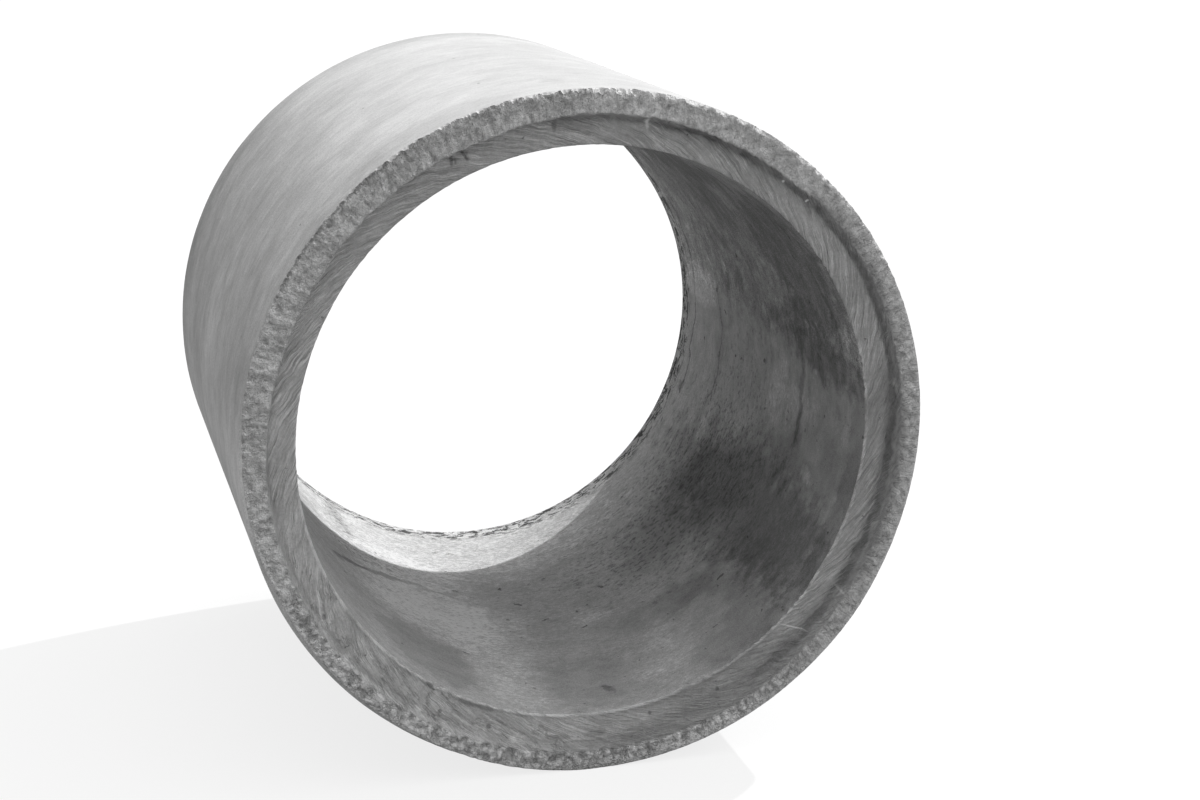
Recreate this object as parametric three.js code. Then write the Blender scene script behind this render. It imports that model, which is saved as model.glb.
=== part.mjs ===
import * as THREE from "three";

// A rebated concrete sewer pipe, one casting, lying on its side. Millimetres, +Z up. The pipe's
// axis runs along Y: the groove end faces -Y and the tongue end faces +Y. The origin is on the
// ground, under the middle of the overall length.

// Barrel
const boreDiameter = 900;
const wallThickness = 87;
const layingLength = 1000; // groove-end face to tongue shoulder: what one pipe adds to a run

// Groove: a step turned into the wall at one end, open to the bore
const seatWidth = 41; // flat trowelled seat between the bore and the groove wall
const grooveDepth = 22; // end face to seat
const grooveDraft = 20; // degrees that the groove wall opens towards its mouth
const mouthRounding = 12; // radius of the groove's mouth, and of the fillet it leaves on a tongue
const seatFillet = 3; // radius where the groove wall meets the seat

// Tongue: the matching step at the other end, which the next pipe's groove receives
const jointClearance = 4; // radial room for mortar between tongue and groove wall
const jointEndGap = 2; // how far the tongue stops short of the seat
const tipRounding = 4; // radius of the tongue's outer tip edge

// Edges that the mould leaves
const boreArris = 4;
const outerArris = 3;

// Facets
const facetsAround = 120; // even, so that a flat facet, and not an edge, faces the ground
const facetsPerRounding = 3;
const facetsPerMouth = 5;

const boreRadius = boreDiameter / 2;
const outerRadius = boreRadius + wallThickness;
const seatRadius = boreRadius + seatWidth;
const tongueLength = grooveDepth - jointEndGap;
const overallLength = layingLength + tongueLength;

const grooveFaceY = -overallLength / 2;
const seatY = grooveFaceY + grooveDepth;
const shoulderY = grooveFaceY + layingLength;
const tongueTipY = shoulderY + tongueLength;

// Radius of the groove's drafted wall at a depth below the end face.
function grooveWallRadius(depth) {
  const draft = Math.tan(THREE.MathUtils.degToRad(grooveDraft));
  return seatRadius + (grooveDepth - depth) * draft;
}

// The wall's section as sharp corners, each with the rounding that the mould gives it, in order
// from the bore at the groove end, out and along the barrel, and back through the bore.
function sectionCorners() {
  const corner = (radius, y, rounding, facets = facetsPerRounding) => ({
    point: new THREE.Vector2(radius, y),
    rounding,
    facets,
  });
  const tongueWallRadius = (depth) => grooveWallRadius(depth) - jointClearance;
  return [
    corner(boreRadius, seatY, boreArris),
    corner(seatRadius, seatY, seatFillet),
    corner(grooveWallRadius(0), grooveFaceY, mouthRounding, facetsPerMouth),
    corner(outerRadius, grooveFaceY, outerArris),
    corner(outerRadius, shoulderY, outerArris),
    corner(tongueWallRadius(0), shoulderY, mouthRounding, facetsPerMouth),
    corner(tongueWallRadius(tongueLength), tongueTipY, tipRounding),
    corner(boreRadius, tongueTipY, boreArris),
  ];
}

// Points of a tangent arc that replaces one sharp corner between its two neighbours.
function roundedCorner(previous, { point, rounding, facets }, next) {
  const back = previous.clone().sub(point).normalize();
  const ahead = next.clone().sub(point).normalize();
  const halfAngle = Math.acos(back.dot(ahead)) / 2;
  const middle = back.clone().add(ahead).normalize();
  const centre = point.clone().addScaledVector(middle, rounding / Math.sin(halfAngle));
  const tangentLength = rounding / Math.tan(halfAngle);
  const start = point.clone().addScaledVector(back, tangentLength).sub(centre);
  const end = point.clone().addScaledVector(ahead, tangentLength).sub(centre);
  const sweep = Math.atan2(start.cross(end), start.dot(end));
  return Array.from({ length: facets + 1 }, (_, i) =>
    start.clone().rotateAround(new THREE.Vector2(), (sweep * i) / facets).add(centre),
  );
}

// The closed profile that is turned about the pipe's axis.
function wallProfile() {
  const corners = sectionCorners();
  const points = corners.flatMap((corner, i) => {
    const previous = corners[(i + corners.length - 1) % corners.length];
    const next = corners[(i + 1) % corners.length];
    return roundedCorner(previous.point, corner, next.point);
  });
  return [...points, points[0].clone()];
}

const castConcrete = new THREE.MeshStandardMaterial({
  color: 0xa3a19c,
  roughness: 0.9,
  metalness: 0,
});

// Half a facet of turn puts a flat facet under the pipe, which rests on it.
const halfFacet = Math.PI / facetsAround;
const concretePipe = new THREE.Mesh(
  new THREE.LatheGeometry(wallProfile(), facetsAround, halfFacet),
  castConcrete,
);
concretePipe.name = "concrete_pipe";
concretePipe.position.z = outerRadius * Math.cos(halfFacet);

const pipeUnit = new THREE.Group();
pipeUnit.add(concretePipe);

export default pipeUnit;
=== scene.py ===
# Concrete sewer pipe lying on its side: one casting with a groove at the near end and a tongue at
# the far end. Metres, +Z up, the pipe's axis along Y.

import math

import bmesh
import bpy
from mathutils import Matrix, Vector, noise


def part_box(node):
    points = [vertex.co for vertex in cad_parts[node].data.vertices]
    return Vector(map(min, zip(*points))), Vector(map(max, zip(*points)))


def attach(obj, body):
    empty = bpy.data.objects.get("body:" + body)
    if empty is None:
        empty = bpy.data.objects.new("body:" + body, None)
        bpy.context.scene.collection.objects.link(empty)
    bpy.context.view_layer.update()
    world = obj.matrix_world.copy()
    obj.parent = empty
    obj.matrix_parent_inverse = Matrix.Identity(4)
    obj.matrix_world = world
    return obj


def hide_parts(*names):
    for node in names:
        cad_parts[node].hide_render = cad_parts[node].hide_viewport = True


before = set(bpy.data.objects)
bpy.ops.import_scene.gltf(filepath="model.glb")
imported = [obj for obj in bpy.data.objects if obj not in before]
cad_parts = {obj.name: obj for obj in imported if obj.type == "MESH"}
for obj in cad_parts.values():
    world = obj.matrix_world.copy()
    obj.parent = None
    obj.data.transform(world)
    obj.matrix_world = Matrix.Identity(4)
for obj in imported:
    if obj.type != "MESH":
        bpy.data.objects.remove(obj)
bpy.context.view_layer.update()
pipeLow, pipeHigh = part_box("concrete_pipe")
axisHeight = pipeHigh.z / 2
print("frame loaded")


# node trees

def put(kind, sockets=None, tree=None, **settings):  # adds a shader node to the tree of what feeds it
    sockets = sockets or {}
    feeds = {key: value for key, value in sockets.items() if isinstance(value, bpy.types.NodeSocket)}
    tree = tree or next(iter(feeds.values())).id_data
    node = tree.nodes.new("ShaderNode" + kind)
    for name, value in settings.items():
        setattr(node, name, value)
    for key, value in sockets.items():
        if key in feeds:
            tree.links.new(value, node.inputs[key])
        else:
            node.inputs[key].default_value = value
    return node


def calc(operation, a, b=0.0, c=0.0, clamp=False):
    return put("Math", {0: a, 1: b, 2: c}, operation=operation, use_clamp=clamp).outputs[0]


def vec(operation, a, b=(0, 0, 0), output=0):
    return put("VectorMath", {0: a, 1: b}, operation=operation).outputs[output]


# camera, light and floor

studio = {
    "lens": 67.875,  # mm
    "sensor": 36,
    "cameraPlace": (-0.845, pipeLow.y - 3.224, axisHeight + 0.898),
    "cameraAim": (0.2488, 0.9377, -0.2424),
    "sunTravel": (-0.63, -0.33, -0.70),  # the way the light goes: from behind, right and above
    "sunStrength": 2.7,
    "sunSpread": math.radians(0.9),
    "skyLeast": 0.05,
    "skyGlows": [  # soft bright parts of the sky: direction, strength, and how tightly each is gathered
        ((0.30, 0.0, 0.95), 1.25, 3),
        ((0.25, -0.80, 0.50), 0.50, 3),
        ((-0.50, -0.20, 0.80), 0.30, 3),
        ((-0.10, 0.70, 0.70), 0.12, 3),
        ((1.0, 0.0, 0.0), 0.34, 1),
    ],
    "floorSize": 80,
    "floorShade": 0.2,  # how much of the floor's look is lit, so that the shadow stays pale
    "floorAlbedo": 0.9,
    "floorBounce": 0.34,
}

white = (1, 1, 1, 1)


def seenDirectly(tree):  # 1 for camera, glossy and transmission rays, which see the plain backdrop
    rays = put("LightPath", tree=tree).outputs
    either = calc("MAXIMUM", rays["Is Camera Ray"], rays["Is Glossy Ray"])
    return calc("MAXIMUM", either, rays["Is Transmission Ray"])


def addCamera():
    bpy.ops.object.camera_add(location=studio["cameraPlace"])
    camera = bpy.context.object
    camera.name = "viewCamera"
    camera.rotation_euler = Vector(studio["cameraAim"]).to_track_quat("-Z", "Y").to_euler()
    camera.data.lens = studio["lens"]
    camera.data.sensor_width = studio["sensor"]
    camera.data.clip_end = 200
    bpy.context.scene.camera = camera


def addSun():
    bpy.ops.object.light_add(type="SUN", location=(3, 2, 4))
    sun = bpy.context.object
    sun.name = "sun"
    sun.rotation_euler = Vector(studio["sunTravel"]).to_track_quat("-Z", "Y").to_euler()
    sun.data.energy = studio["sunStrength"]
    sun.data.angle = studio["sunSpread"]


def addSky():
    world = bpy.data.worlds.new("paleSky")
    world.use_nodes = True
    bpy.context.scene.world = world
    tree = world.node_tree
    tree.nodes.clear()
    direction = put("TexCoord", tree=tree).outputs["Generated"]
    total = studio["skyLeast"]
    for towards, strength, gather in studio["skyGlows"]:
        facing = vec("DOT_PRODUCT", direction, Vector(towards).normalized(), output="Value")
        gathered = calc("POWER", calc("MAXIMUM", facing, 0.0), gather)
        total = calc("MULTIPLY_ADD", gathered, strength, total)
    sky = put("Background", {"Color": white, "Strength": total})
    backdrop = put("Background", {"Color": white, "Strength": 1}, tree)
    both = put("MixShader", {0: seenDirectly(tree), 1: sky.outputs[0], 2: backdrop.outputs[0]})
    put("OutputWorld", {"Surface": both.outputs[0]})


def addFloor():
    bpy.ops.mesh.primitive_plane_add(size=studio["floorSize"])
    floor = bpy.context.object
    floor.name = "paleFloor"
    material = bpy.data.materials.new("paleFloor")
    material.use_nodes = True
    tree = material.node_tree
    tree.nodes.clear()
    albedo, bounce = studio["floorAlbedo"], studio["floorBounce"]
    plain = put("Emission", {"Color": white, "Strength": 1}, tree)
    lit = put("BsdfDiffuse", {"Color": (albedo, albedo, albedo, 1)}, tree)
    dim = put("BsdfDiffuse", {"Color": (bounce, bounce, bounce, 1)}, tree)
    shown = put("MixShader", {0: studio["floorShade"], 1: plain.outputs[0], 2: lit.outputs[0]})
    both = put("MixShader", {0: seenDirectly(tree), 1: dim.outputs[0], 2: shown.outputs[0]})
    put("OutputMaterial", {"Surface": both.outputs[0]})
    floor.data.materials.append(material)


addCamera()
addSun()
addSky()
addFloor()
bpy.context.scene.view_settings.view_transform = "Standard"
print("camera, lights and floor placed")


# the pipe's mesh

pipe = {  # the same sizes as the solid, in metres
    "nearY": pipeLow.y,  # groove end
    "farY": pipeHigh.y,  # tongue tip
    "outerRadius": (pipeHigh.x - pipeLow.x) / 2,
    "boreRadius": 0.450,
    "seatWidth": 0.041,
    "grooveDepth": 0.022,
    "grooveDraft": math.radians(20),
    "jointClearance": 0.004,
    "jointEndGap": 0.002,
    "mouthRounding": 0.012,
    "seatFillet": 0.003,
    "tipRounding": 0.004,
    "boreArris": 0.004,
    "outerArris": 0.003,
    "brokenDepth": 0.016,  # how far back from the end face the rim may be broken away
    "blend": 0.020,  # between this far from the seat and from the shoulder, the barrel has its long rows
    "fineEdge": 0.0095,  # how far in from the outside the fine steps of the near edge go
    "doublings": 4,  # the spun sector is copied until it closes, which spins faster than a full turn
    "stepsPerSector": 68,
    "fineSpan": (25, 158),  # degrees in which the outer near edge has twice the steps
}
nearY, farY = pipe["nearY"], pipe["farY"]
boreRadius, outerRadius = pipe["boreRadius"], pipe["outerRadius"]
grooveDepth = pipe["grooveDepth"]
seatY = nearY + grooveDepth
shoulderY = farY - grooveDepth + pipe["jointEndGap"]
seatRadius = boreRadius + pipe["seatWidth"]
draftSlope = math.tan(pipe["grooveDraft"])
nearBand = nearY + pipe["brokenDepth"]
nearBlend = seatY + pipe["blend"]
farBlend = shoulderY - pipe["blend"]


def grooveWallRadius(depth):  # the drafted groove wall, at a depth below the end face
    return seatRadius + (grooveDepth - depth) * draftSlope


tongueRoot = grooveWallRadius(0) - pipe["jointClearance"]
tongueTip = grooveWallRadius(farY - shoulderY) - pipe["jointClearance"]


def near(a, b, slack=1e-5):
    return abs(a - b) < slack


def pick(test):  # selects the section's points whose y and radius pass the test
    bpy.ops.mesh.select_all(action="DESELECT")
    section = bmesh.from_edit_mesh(bpy.context.object.data)
    for point in section.verts:
        point.select = test(point.co.y, point.co.z - axisHeight)
    section.select_flush(True)
    bmesh.update_edit_mesh(bpy.context.object.data)


def moveOut(distance):
    bpy.ops.transform.translate(value=(0, 0, distance))


def drawSection():
    # A plane through the wall above the axis, from the seat to the tongue's shoulder, cut at the
    # seat's outer edge; its upper part runs on as the groove's ring and its lower part as the tongue.
    inner, outer = boreRadius, outerRadius
    bpy.ops.object.select_all(action="DESELECT")
    bpy.ops.mesh.primitive_plane_add(
        size=1,
        location=(0, (seatY + shoulderY) / 2, axisHeight + (inner + outer) / 2),
        rotation=(0, math.pi / 2, 0),
    )
    section = bpy.context.object
    section.name = "pipeWall"
    section.scale = (outer - inner, shoulderY - seatY, 1)
    bpy.ops.object.transform_apply(location=True, rotation=True, scale=True)
    bpy.ops.object.mode_set(mode="EDIT")
    bpy.context.tool_settings.mesh_select_mode = (True, False, False)
    bpy.ops.mesh.select_all(action="SELECT")
    bpy.ops.mesh.bisect(plane_co=(0, 0, axisHeight + seatRadius), plane_no=(0, 0, 1))
    pick(lambda y, r: near(y, seatY) and r > seatRadius - 1e-4)
    bpy.ops.mesh.extrude_region_move(TRANSFORM_OT_translate={"value": (0, -grooveDepth, 0)})
    pick(lambda y, r: near(y, shoulderY) and r < seatRadius + 1e-4)
    bpy.ops.mesh.extrude_region_move(TRANSFORM_OT_translate={"value": (0, farY - shoulderY, 0)})
    pick(lambda y, r: near(y, nearY) and near(r, seatRadius))
    moveOut(grooveWallRadius(0) - seatRadius)
    pick(lambda y, r: near(y, shoulderY) and near(r, seatRadius))
    moveOut(tongueRoot - seatRadius)
    pick(lambda y, r: near(y, farY) and near(r, seatRadius))
    moveOut(tongueTip - seatRadius)
    for cut in (nearBand, nearBlend, farBlend):
        bpy.ops.mesh.select_all(action="SELECT")
        bpy.ops.mesh.bisect(plane_co=(0, cut, 0), plane_no=(0, 1, 0))
    bpy.ops.mesh.select_all(action="SELECT")
    bpy.ops.mesh.dissolve_faces()
    # points of the cuts and of the first plane that the outline doesn't need
    pick(lambda y, r: near(y, seatY) and near(r, outer) or near(y, shoulderY) and near(r, inner))
    bpy.ops.mesh.dissolve_verts()
    pick(lambda y, r: near(y, nearBand) and inner + 0.01 < r < outer - 0.01)
    bpy.ops.mesh.dissolve_verts()
    return section


def roundCorners():
    draft = math.pi / 2 + pipe["grooveDraft"]
    square = math.pi / 2
    corners = [  # y, radius, rounding, angle between the faces, rows
        (seatY, boreRadius, pipe["boreArris"], square, 4),
        (seatY, seatRadius, pipe["seatFillet"], draft, 2),
        (nearY, grooveWallRadius(0), pipe["mouthRounding"], draft, 6),
        (nearY, outerRadius, pipe["outerArris"], square, 3),
        (shoulderY, outerRadius, pipe["outerArris"], square, 2),
        (shoulderY, tongueRoot, pipe["mouthRounding"], draft, 3),
        (farY, tongueTip, pipe["tipRounding"], draft, 2),
        (farY, boreRadius, pipe["boreArris"], square, 3),
    ]
    for y, radius, rounding, angle, rows in corners:
        pick(lambda py, pr: near(py, y) and near(pr, radius))
        bpy.ops.mesh.bevel(affect="VERTICES", offset=rounding / math.tan(angle / 2), segments=rows)


def cutRows():
    inner, outer, slack = boreRadius, outerRadius, 1e-4
    stretches = [  # lowest and highest radius, first and last y, and the cuts across the stretch
        (inner, outer, nearY, nearY, 11),
        (inner, outer, seatY, seatY, 11),
        (inner + 0.03, outer - 0.01, nearY + 0.007, seatY - 0.0015, 3),  # the groove's wall
        (outer, outer, nearBlend, farBlend, 3),
        (outer, outer, nearBand, nearBlend, 2),
        (outer, outer, nearY, nearBand, 6),
        (outer, outer, farBlend, farY, 1),
        (inner, inner, nearBlend, farBlend, 4),
        (inner, inner, seatY, nearBlend, 2),
        (inner, inner, farBlend, farY, 2),
        (inner, outer, shoulderY, shoulderY, 1),
        (inner, outer, farY, farY, 1),
    ]
    for low, high, start, end, cuts in stretches:
        pick(lambda y, r: low - slack < r < high + slack and start - slack < y < end + slack)
        bpy.ops.mesh.subdivide(number_cuts=cuts)


def spinSection():
    bpy.ops.mesh.select_all(action="SELECT")
    bpy.ops.mesh.delete(type="ONLY_FACE")
    bpy.ops.mesh.select_all(action="SELECT")
    axisPoint = (0, 0, axisHeight)
    turn = math.tau / 2 ** pipe["doublings"]
    bpy.ops.mesh.spin(steps=pipe["stepsPerSector"], angle=turn, center=axisPoint, axis=(0, 1, 0))
    for doubling in range(pipe["doublings"]):
        bpy.ops.mesh.select_all(action="SELECT")
        bpy.ops.mesh.duplicate()
        bpy.ops.transform.rotate(value=turn * 2**doubling, orient_axis="Y", center_override=axisPoint)
    bpy.ops.mesh.select_all(action="SELECT")
    bpy.ops.mesh.remove_doubles(threshold=1e-5)
    bpy.ops.mesh.normals_make_consistent(inside=False)


def angleOf(spot):  # degrees, 0 right and 90 top, seen from the groove end
    return math.degrees(math.atan2(spot.z - axisHeight, spot.x))


def splitEdgeSteps():  # twice the steps along the outer near edge where its crumbling shows
    bpy.context.tool_settings.mesh_select_mode = (False, True, False)
    bpy.ops.mesh.select_all(action="DESELECT")
    start, end = pipe["fineSpan"]
    mesh = bmesh.from_edit_mesh(bpy.context.object.data)
    for edge in mesh.edges:
        first, second = [vertex.co for vertex in edge.verts]
        if first.y > nearBand + 1e-4 or not near(first.y, second.y):
            continue
        radii = [math.hypot(spot.x, spot.z - axisHeight) for spot in (first, second)]
        onEdge = near(*radii) and min(radii) > outerRadius - pipe["fineEdge"]
        edge.select = onEdge and start < angleOf((first + second) / 2) < end
    bmesh.update_edit_mesh(bpy.context.object.data)
    bpy.ops.mesh.subdivide(number_cuts=1)
    bpy.ops.object.mode_set(mode="OBJECT")
    bpy.ops.object.shade_smooth()


wall = drawSection()
roundCorners()
cutRows()
spinSection()
splitEdgeSteps()
print("pipe wall spun:", len(wall.data.vertices), "vertices,", len(wall.data.polygons), "faces")

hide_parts("concrete_pipe")
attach(wall, "root")


# relief: what the mould, the trowel and handling left on the surface

rim = {  # the groove end's rough ring; angles in degrees, 0 right and 90 top, seen from the groove end
    "swellSize": 0.017,
    "swellDepth": 0.00198,
    "lumpSize": 0.0098,
    "lumpDepth": 0.0034,
    "crumbSize": 0.0062,
    "crumbDepth": 0.0012,
    "facetSize": 0.0130,
    "facetDepth": [(-180, 0.0008), (-38, 0.0008), (-20, 0.0015), (180, 0.0015)],  # angle, depth
    "gritSize": 0.0044,
    "gritDepth": 0.0005,
    "ridgeSpacing": 0.0058,
    "ridgeLength": 0.026,
    "ridgeDepth": 0.0034,
    "ridgeSpan": (62, 205),
    "crumblySpan": (214, 300),  # here the crumbs have deep gaps between them
    "crumbly": 1.5,
    "softSpan": (-128, 84),  # here the lumps are smooth, with little grit on them
    "softSwell": 1.1,
    "tongueSpan": (-50, 34),  # and here they are rounded tongues that run outwards
    "tongueSpacing": 0.0120,
    "tongueDepth": 0.0026,
    "meanDepth": 0.0026,
    "proudSpan": (-92, -40),  # here the outer part of the end face stands forward
    "proudFrom": (0.5200, 0.5310),  # radii between which that comes up
    "innerEdge": [  # angle and radius at which the rough skin ends
        (-180, 0.4985), (-160, 0.4990), (-146, 0.5040), (-105, 0.5060), (-85, 0.5080), (-60, 0.5095),
        (-45, 0.5070), (-30, 0.5050), (30, 0.5040), (40, 0.5030), (54, 0.4985), (180, 0.4985),
    ],
    "squareSpan": (54, 208),  # here the skin has filled the rounding of the groove's mouth
    "mouthWave": 0.0026,
    "mouthOverhang": [  # angle, and how far the filled mouth leans in over the groove
        (-180, 0.0015), (-160, 0.0), (40, 0.0), (52, 0.0030), (66, 0.0034), (76, 0.0012),
        (90, 0.0006), (100, 0.0038), (110, 0.0066), (120, 0.0056), (130, 0.0062), (150, 0.0070),
        (160, 0.0064), (170, 0.0040), (180, 0.0020),
    ],
    "wornEdge": [  # angle, and how far in the outer edge has crumbled where it went deepest
        (-180, 0.0), (62, 0.0), (72, 0.0050), (80, 0.0075), (92, 0.0062), (112, 0.0056), (140, 0.0044),
        (156, 0.0020), (180, 0.0010),
    ],
    "chippedEdge": [  # angle, and how far back its corner has chipped off where it went deepest
        (-180, 0.0), (20, 0.0), (34, 0.0046), (56, 0.0070), (80, 0.0120), (100, 0.0050), (150, 0.0030),
        (180, 0.0),
    ],
    "chipSize": 0.020,
    "chipWidth": 0.0070,
    "wornSize": 0.0052,
    "wornWidth": 0.012,  # how far in over the end face a bite is felt
    "wornLength": 0.012,  # and how far along the barrel
    "slump": [  # angle, and how far in the whole edge stands
        (-180, 0.0038), (-150, 0.0066), (-134, 0.0056), (-118, 0.0034), (-104, 0.0004), (-96, 0.0),
        (-36, 0.0), (-18, 0.0012), (10, 0.0), (24, 0.0), (166, 0.0), (180, 0.0038),
    ],
    "evenSpans": [(188, 236), (-100, 16)],  # here the outer margin of the ring is even
    "evenFrom": (0.5265, 0.5310),
    "barrelMargin": 0.0045,  # nearer than this to the outside, a point goes with the barrel
    "grooveFrom": 0.008,  # deeper than this below the end face, a point goes with the seat
    "fullHollow": 0.003,  # the depth that the materials take as a full hollow, and a full fold
    "seed": 1,
}
footFill = [  # angle, and how high mortar stands in the corner of seat and groove wall
    (-180, 0.001), (-158, 0.003), (-146, 0.009), (-62, 0.010), (-48, 0.003), (5, 0.001),
    (12, 0.007), (22, 0.009), (32, 0.010), (46, 0.0065), (58, 0.001), (180, 0.001),
]


def smooth(value, start, end):  # 0 at start, 1 at end, eased
    t = min(max((value - start) / (end - start), 0.0), 1.0)
    return t * t * (3 - 2 * t)


def window(angle, span, soft=10.0):  # 1 inside a span of degrees, fading to 0 outside it
    middle, half = sum(span) / 2, (span[1] - span[0]) / 2
    away = abs((angle - middle + 180) % 360 - 180)
    return smooth(away, half + soft, half)


def grain(point, size, seed=0.0):  # smooth noise, -1 to 1
    return noise.noise(Vector((point.x + seed, point.y, point.z)) / size)


def lumps(point, size):  # 0 on the pebbles' round tops, towards 1 in the gaps between them
    return min(noise.voronoi(point / size)[0][0] ** 2 * 1.9, 1.0)


def crumbs(point, size, seed=0.0):  # one level for each crumb, about -1 to 1, which jumps at its edges
    crumb = noise.voronoi(point / size)[1][0]
    return 1.8 * noise.noise(Vector((crumb.x * 3.7 + seed, crumb.y * 3.7, crumb.z * 3.7)))


def facets(point, size):  # flat crumbs, each tilted its own way, about -1 to 1
    crumb = noise.voronoi(point / size)[1][0]
    tilt = noise.noise_vector(crumb * 3.7)
    return 3.0 * (point / size - crumb).dot(tilt)


def along(stops, angle):  # the value at an angle, between the two nearest (angle, value) stops
    for (before, low), (after, high) in zip(stops, stops[1:]):
        if angle <= after:
            return low + (high - low) * smooth(angle, before, after)
    return stops[-1][1]


def squareMouth(angle, radius, depth):  # the radius and depth of a point once the rounding is filled
    corner, rounding = grooveWallRadius(0), pipe["mouthRounding"]
    draft, slack = pipe["grooveDraft"], 4e-4
    opening = math.pi / 2 - draft
    tangent = rounding * math.tan(opening / 2)
    inwards, upwards = corner + tangent - radius, rounding - depth
    turned = math.atan2(inwards, upwards) / opening
    if abs(math.hypot(inwards, upwards) - rounding) > slack or not 0 <= turned <= 1:
        return radius, depth
    beyond = tangent * (2 * turned - 1)
    if beyond < 0:
        squared = (corner - beyond, 0.0)
    else:
        squared = (corner - beyond * math.sin(draft), beyond * math.cos(draft))
    filled = window(angle, rim["squareSpan"], 9)
    return radius + (squared[0] - radius) * filled, depth + (squared[1] - depth) * filled


def squareArris(radius, depth):  # the same for the rounding of the outer edge, which mortar has filled
    rounding, slack = pipe["outerArris"], 2e-4
    outwards, upwards = radius - outerRadius + rounding, rounding - depth
    turned = math.atan2(outwards, upwards) * 2 / math.pi
    if abs(math.hypot(outwards, upwards) - rounding) > slack or not 0 <= turned <= 1:
        return radius, depth
    beyond = rounding * (2 * turned - 1)
    return outerRadius + min(beyond, 0.0), max(beyond, 0.0)


def fillFoot(angle, radius, depth):  # how far forward the mortar in the foot of the groove wall stands
    if radius > 0.500 or depth < rim["grooveFrom"]:
        return 0.0
    start = 0.457
    acrossSeat = min(max((radius - start) / (seatRadius - start), 0.0), 1.0) ** 1.2
    upWall = min((depth - rim["grooveFrom"]) / (grooveDepth - 0.0095), 1.0)
    return along(footFill, angle) * min(acrossSeat, upWall)


def crumbleEdge(around, angle, radius, depth):  # how far in the outer edge has crumbled away
    inFromEdge = outerRadius - radius
    if inFromEdge > rim["wornWidth"] or depth > rim["wornLength"]:
        return 0.0
    bite = 0.22 + 0.9 * grain(around, rim["wornSize"], 5) + 1.0 * grain(around, 0.012, 6)
    bite += 0.45 * crumbs(around, 0.011, 4)
    reach = along(rim["wornEdge"], angle) * min(max(bite, 0.0), 1.2) + along(rim["slump"], angle)
    return reach * smooth(inFromEdge, rim["wornWidth"], 0.0) * smooth(depth, rim["wornLength"], 0.001)


def chipEdge(around, angle, radius, depth):  # how far back the outer edge's corner has chipped off
    inFromEdge = outerRadius - radius
    if inFromEdge > rim["chipWidth"] or depth > pipe["brokenDepth"]:
        return 0.0
    chip = 0.42 + 1.3 * grain(around, rim["chipSize"], 8) + 1.1 * grain(around, 0.0075, 9)
    chip += 0.3 * crumbs(Vector((around.x, radius, around.z)), 0.007, 5)
    reach = along(rim["chippedEdge"], angle) * min(max(chip, 0.0), 1.0)
    return reach * smooth(inFromEdge, rim["chipWidth"], 0.0) * (1 - depth / pipe["brokenDepth"])


def roughness(around, angle, radius, depth):  # how far the broken skin of the ring covers this place
    if radius > outerRadius - rim["barrelMargin"]:
        return max(1 - depth / pipe["brokenDepth"], 0.0)
    wander = 0.0016 * grain(around, 0.03, 41) + 0.0010 * crumbs(around, 0.012, 43)
    inner = along(rim["innerEdge"], angle) + wander * (1 - window(angle, rim["squareSpan"], 8))
    return smooth(radius, inner - 0.0008, inner + 0.0016) * smooth(depth, 0.006, 0.002)


def setBack(angle, radius, depth):  # how far the whole end face lies behind its true plane
    if radius < seatRadius:
        return 0.0
    onBarrel = radius > outerRadius - rim["barrelMargin"]
    reach = pipe["brokenDepth"] if onBarrel else 0.014
    proud = window(angle, rim["proudSpan"], 16) * smooth(radius, *rim["proudFrom"])
    return rim["meanDepth"] * (1 - 0.9 * proud) * max(1 - depth / reach, 0.0)


def roughenRing(around, angle, radius):  # how far this place lies behind the ring's mean face
    flat = Vector((around.x, radius * 0.7, around.z))
    crumbly = window(angle, rim["crumblySpan"], 20)
    soft = window(angle, rim["softSpan"], 12)
    swell = 1 + (rim["softSwell"] - 1) * soft
    deeper = 1 + (rim["crumbly"] - 1) * crumbly
    hollow = rim["swellDepth"] * grain(flat, rim["swellSize"], 7) * swell
    hollow += rim["lumpDepth"] * (lumps(flat, rim["lumpSize"]) - 0.5) * deeper
    hollow += rim["crumbDepth"] * crumbs(flat, rim["crumbSize"], 3) * (1 - 0.6 * soft)
    hollow += along(rim["facetDepth"], angle) * facets(flat, rim["facetSize"]) * soft
    hollow += rim["gritDepth"] * noise.turbulence(flat / rim["gritSize"], 2, False) * (1 - soft)
    skew = Vector((around.x, radius * rim["ridgeSpacing"] / rim["ridgeLength"], around.z))
    ridged = window(angle, rim["ridgeSpan"], 20) * (1 - 0.6 * soft)
    hollow += ridged * rim["ridgeDepth"] * (abs(grain(skew, rim["ridgeSpacing"], 3)) - 0.2)
    tongues = window(angle, rim["tongueSpan"], 14) * rim["tongueDepth"]
    return hollow - tongues * (abs(grain(skew, rim["tongueSpacing"], 21)) - 0.2)


def waveMouth(around, angle, radius, depth):  # how far the groove's mouth is eaten back into the wall
    reach = smooth(radius, 0.512, 0.500) * smooth(radius, seatRadius + 0.001, seatRadius + 0.004)
    reach *= smooth(depth, 0.014, 0.004)
    wave = 0.40 + 0.5 * grain(around, 0.040, 11) + 0.8 * grain(around, 0.0065, 13)
    wave = min(max(wave + 0.3 * crumbs(around, 0.009, 2), 0.0), 1.3)
    eaten = rim["mouthWave"] * wave * (0.3 + 0.7 * window(angle, (46, 158), 15))
    return reach * (eaten - along(rim["mouthOverhang"], angle))


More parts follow.
